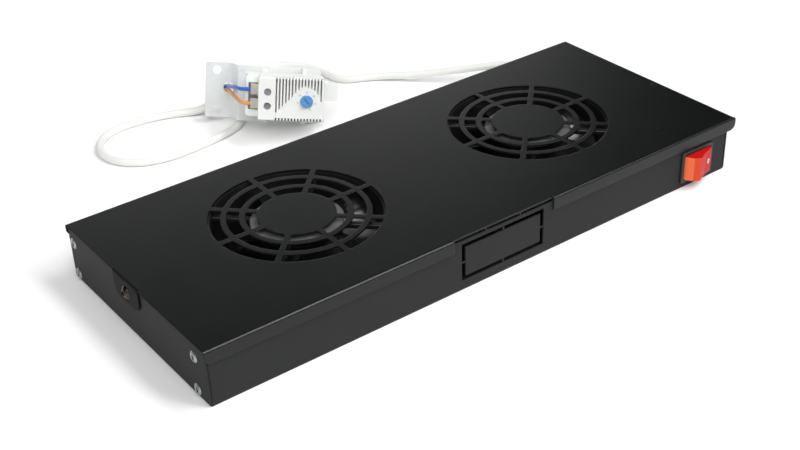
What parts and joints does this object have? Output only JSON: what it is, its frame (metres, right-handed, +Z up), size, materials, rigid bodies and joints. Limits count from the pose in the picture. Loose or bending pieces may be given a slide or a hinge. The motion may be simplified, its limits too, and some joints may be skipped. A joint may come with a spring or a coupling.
{
  "type": "rack fan tray",
  "caption": "Flat black rack fan tray with round grilles over axial fans, a red rocker switch and a rail thermostat on a white cord.",
  "frame": {"origin": "middle of the tray's underside", "axes": "+X right along the front, +Y towards the rear, +Z up; the front wall with the switch faces -Y"},
  "size_m": [0.4501, 0.3859, 0.0563],
  "materials": {
    "black_powder_coat": "fine textured powder coat",
    "fan_black": "black die cast",
    "blade_black": "gloss black",
    "motor_grey": "dull grey sheet",
    "zinc_steel": "bright zinc",
    "dark_screw": "dark bronze",
    "rivet_aluminium": "bright",
    "winding_copper": "lacquered",
    "switch_black": "moulded",
    "rocker_red": "clear red, moulded",
    "terminal_brass": "tinned",
    "block_white": "moulded",
    "gland_black": "moulded nylon",
    "cord_white": "soft matte",
    "thermostat_grey": "moulded",
    "dial_blue": "moulded",
    "core_blue": "soft",
    "core_brown": "soft"
  },
  "bodies": {
    "tray": {"base_tray": "black_powder_coat", "body_rivets": "rivet_aluminium", "cable_gland": "gland_black", "cover_clinch_nuts": "zinc_steel", "cover_screws": "dark_screw", "din_rail": "zinc_steel", "earth_nut": "zinc_steel", "earth_stud": "zinc_steel", "fan_nuts": "zinc_steel", "fan_screws": "zinc_steel", "gland_dome_nut": "gland_black", "gland_locknut": "gland_black", "inner_cord": "cord_white", "left_fan_bearings": "zinc_steel", "left_fan_frame": "fan_black", "left_fan_lead": "gland_black", "left_fan_motor_plate": "motor_grey", "left_fan_spider": "fan_black", "left_fan_stator": "winding_copper", "mounting_bracket": "zinc_steel", "rail_clip": "thermostat_grey", "rail_rivets": "zinc_steel", "right_fan_bearings": "zinc_steel", "right_fan_frame": "fan_black", "right_fan_lead": "gland_black", "right_fan_motor_plate": "motor_grey", "right_fan_spider": "fan_black", "right_fan_stator": "winding_copper", "sensor_cord": "cord_white", "switch_housing": "switch_black", "switch_lead": "gland_black", "switch_terminals": "terminal_brass", "terminal_block": "block_white", "terminal_screws": "zinc_steel", "thermostat_base": "thermostat_grey", "thermostat_cover": "thermostat_grey", "thermostat_screws": "zinc_steel", "thermostat_terminals": "terminal_brass", "top_cover": "black_powder_coat", "wire_blue": "core_blue", "wire_brown": "core_brown"},
    "left_rotor": {"left_fan_rotor": "blade_black", "left_fan_shaft": "zinc_steel"},
    "right_rotor": {"right_fan_rotor": "blade_black", "right_fan_shaft": "zinc_steel"},
    "rocker": {"switch_rocker": "rocker_red"},
    "dial": {"thermostat_dial": "dial_blue"}
  },
  "joints": [
    {"name": "left_fan_spin", "type": "hinge", "parent": "tray", "child": "left_rotor", "pos_m": [-0.0957, 0.0038, 0.0182], "axis": [0, 0, 1], "continuous": true},
    {"name": "right_fan_spin", "type": "hinge", "parent": "tray", "child": "right_rotor", "pos_m": [0.1072, 0.0038, 0.0182], "axis": [0, 0, 1], "continuous": true},
    {"name": "rocker_tilt", "type": "hinge", "parent": "tray", "child": "rocker", "pos_m": [0.1875, -0.087, 0.0169], "axis": [0, 0, -1], "range_deg": [0, 40]},
    {"name": "dial_turn", "type": "hinge", "parent": "tray", "child": "dial", "pos_m": [0.00584, 0.14486, 0.0361], "axis": [-0.4756, -0.8204, 0.3173], "range_deg": [-135, 135]}
  ]
}
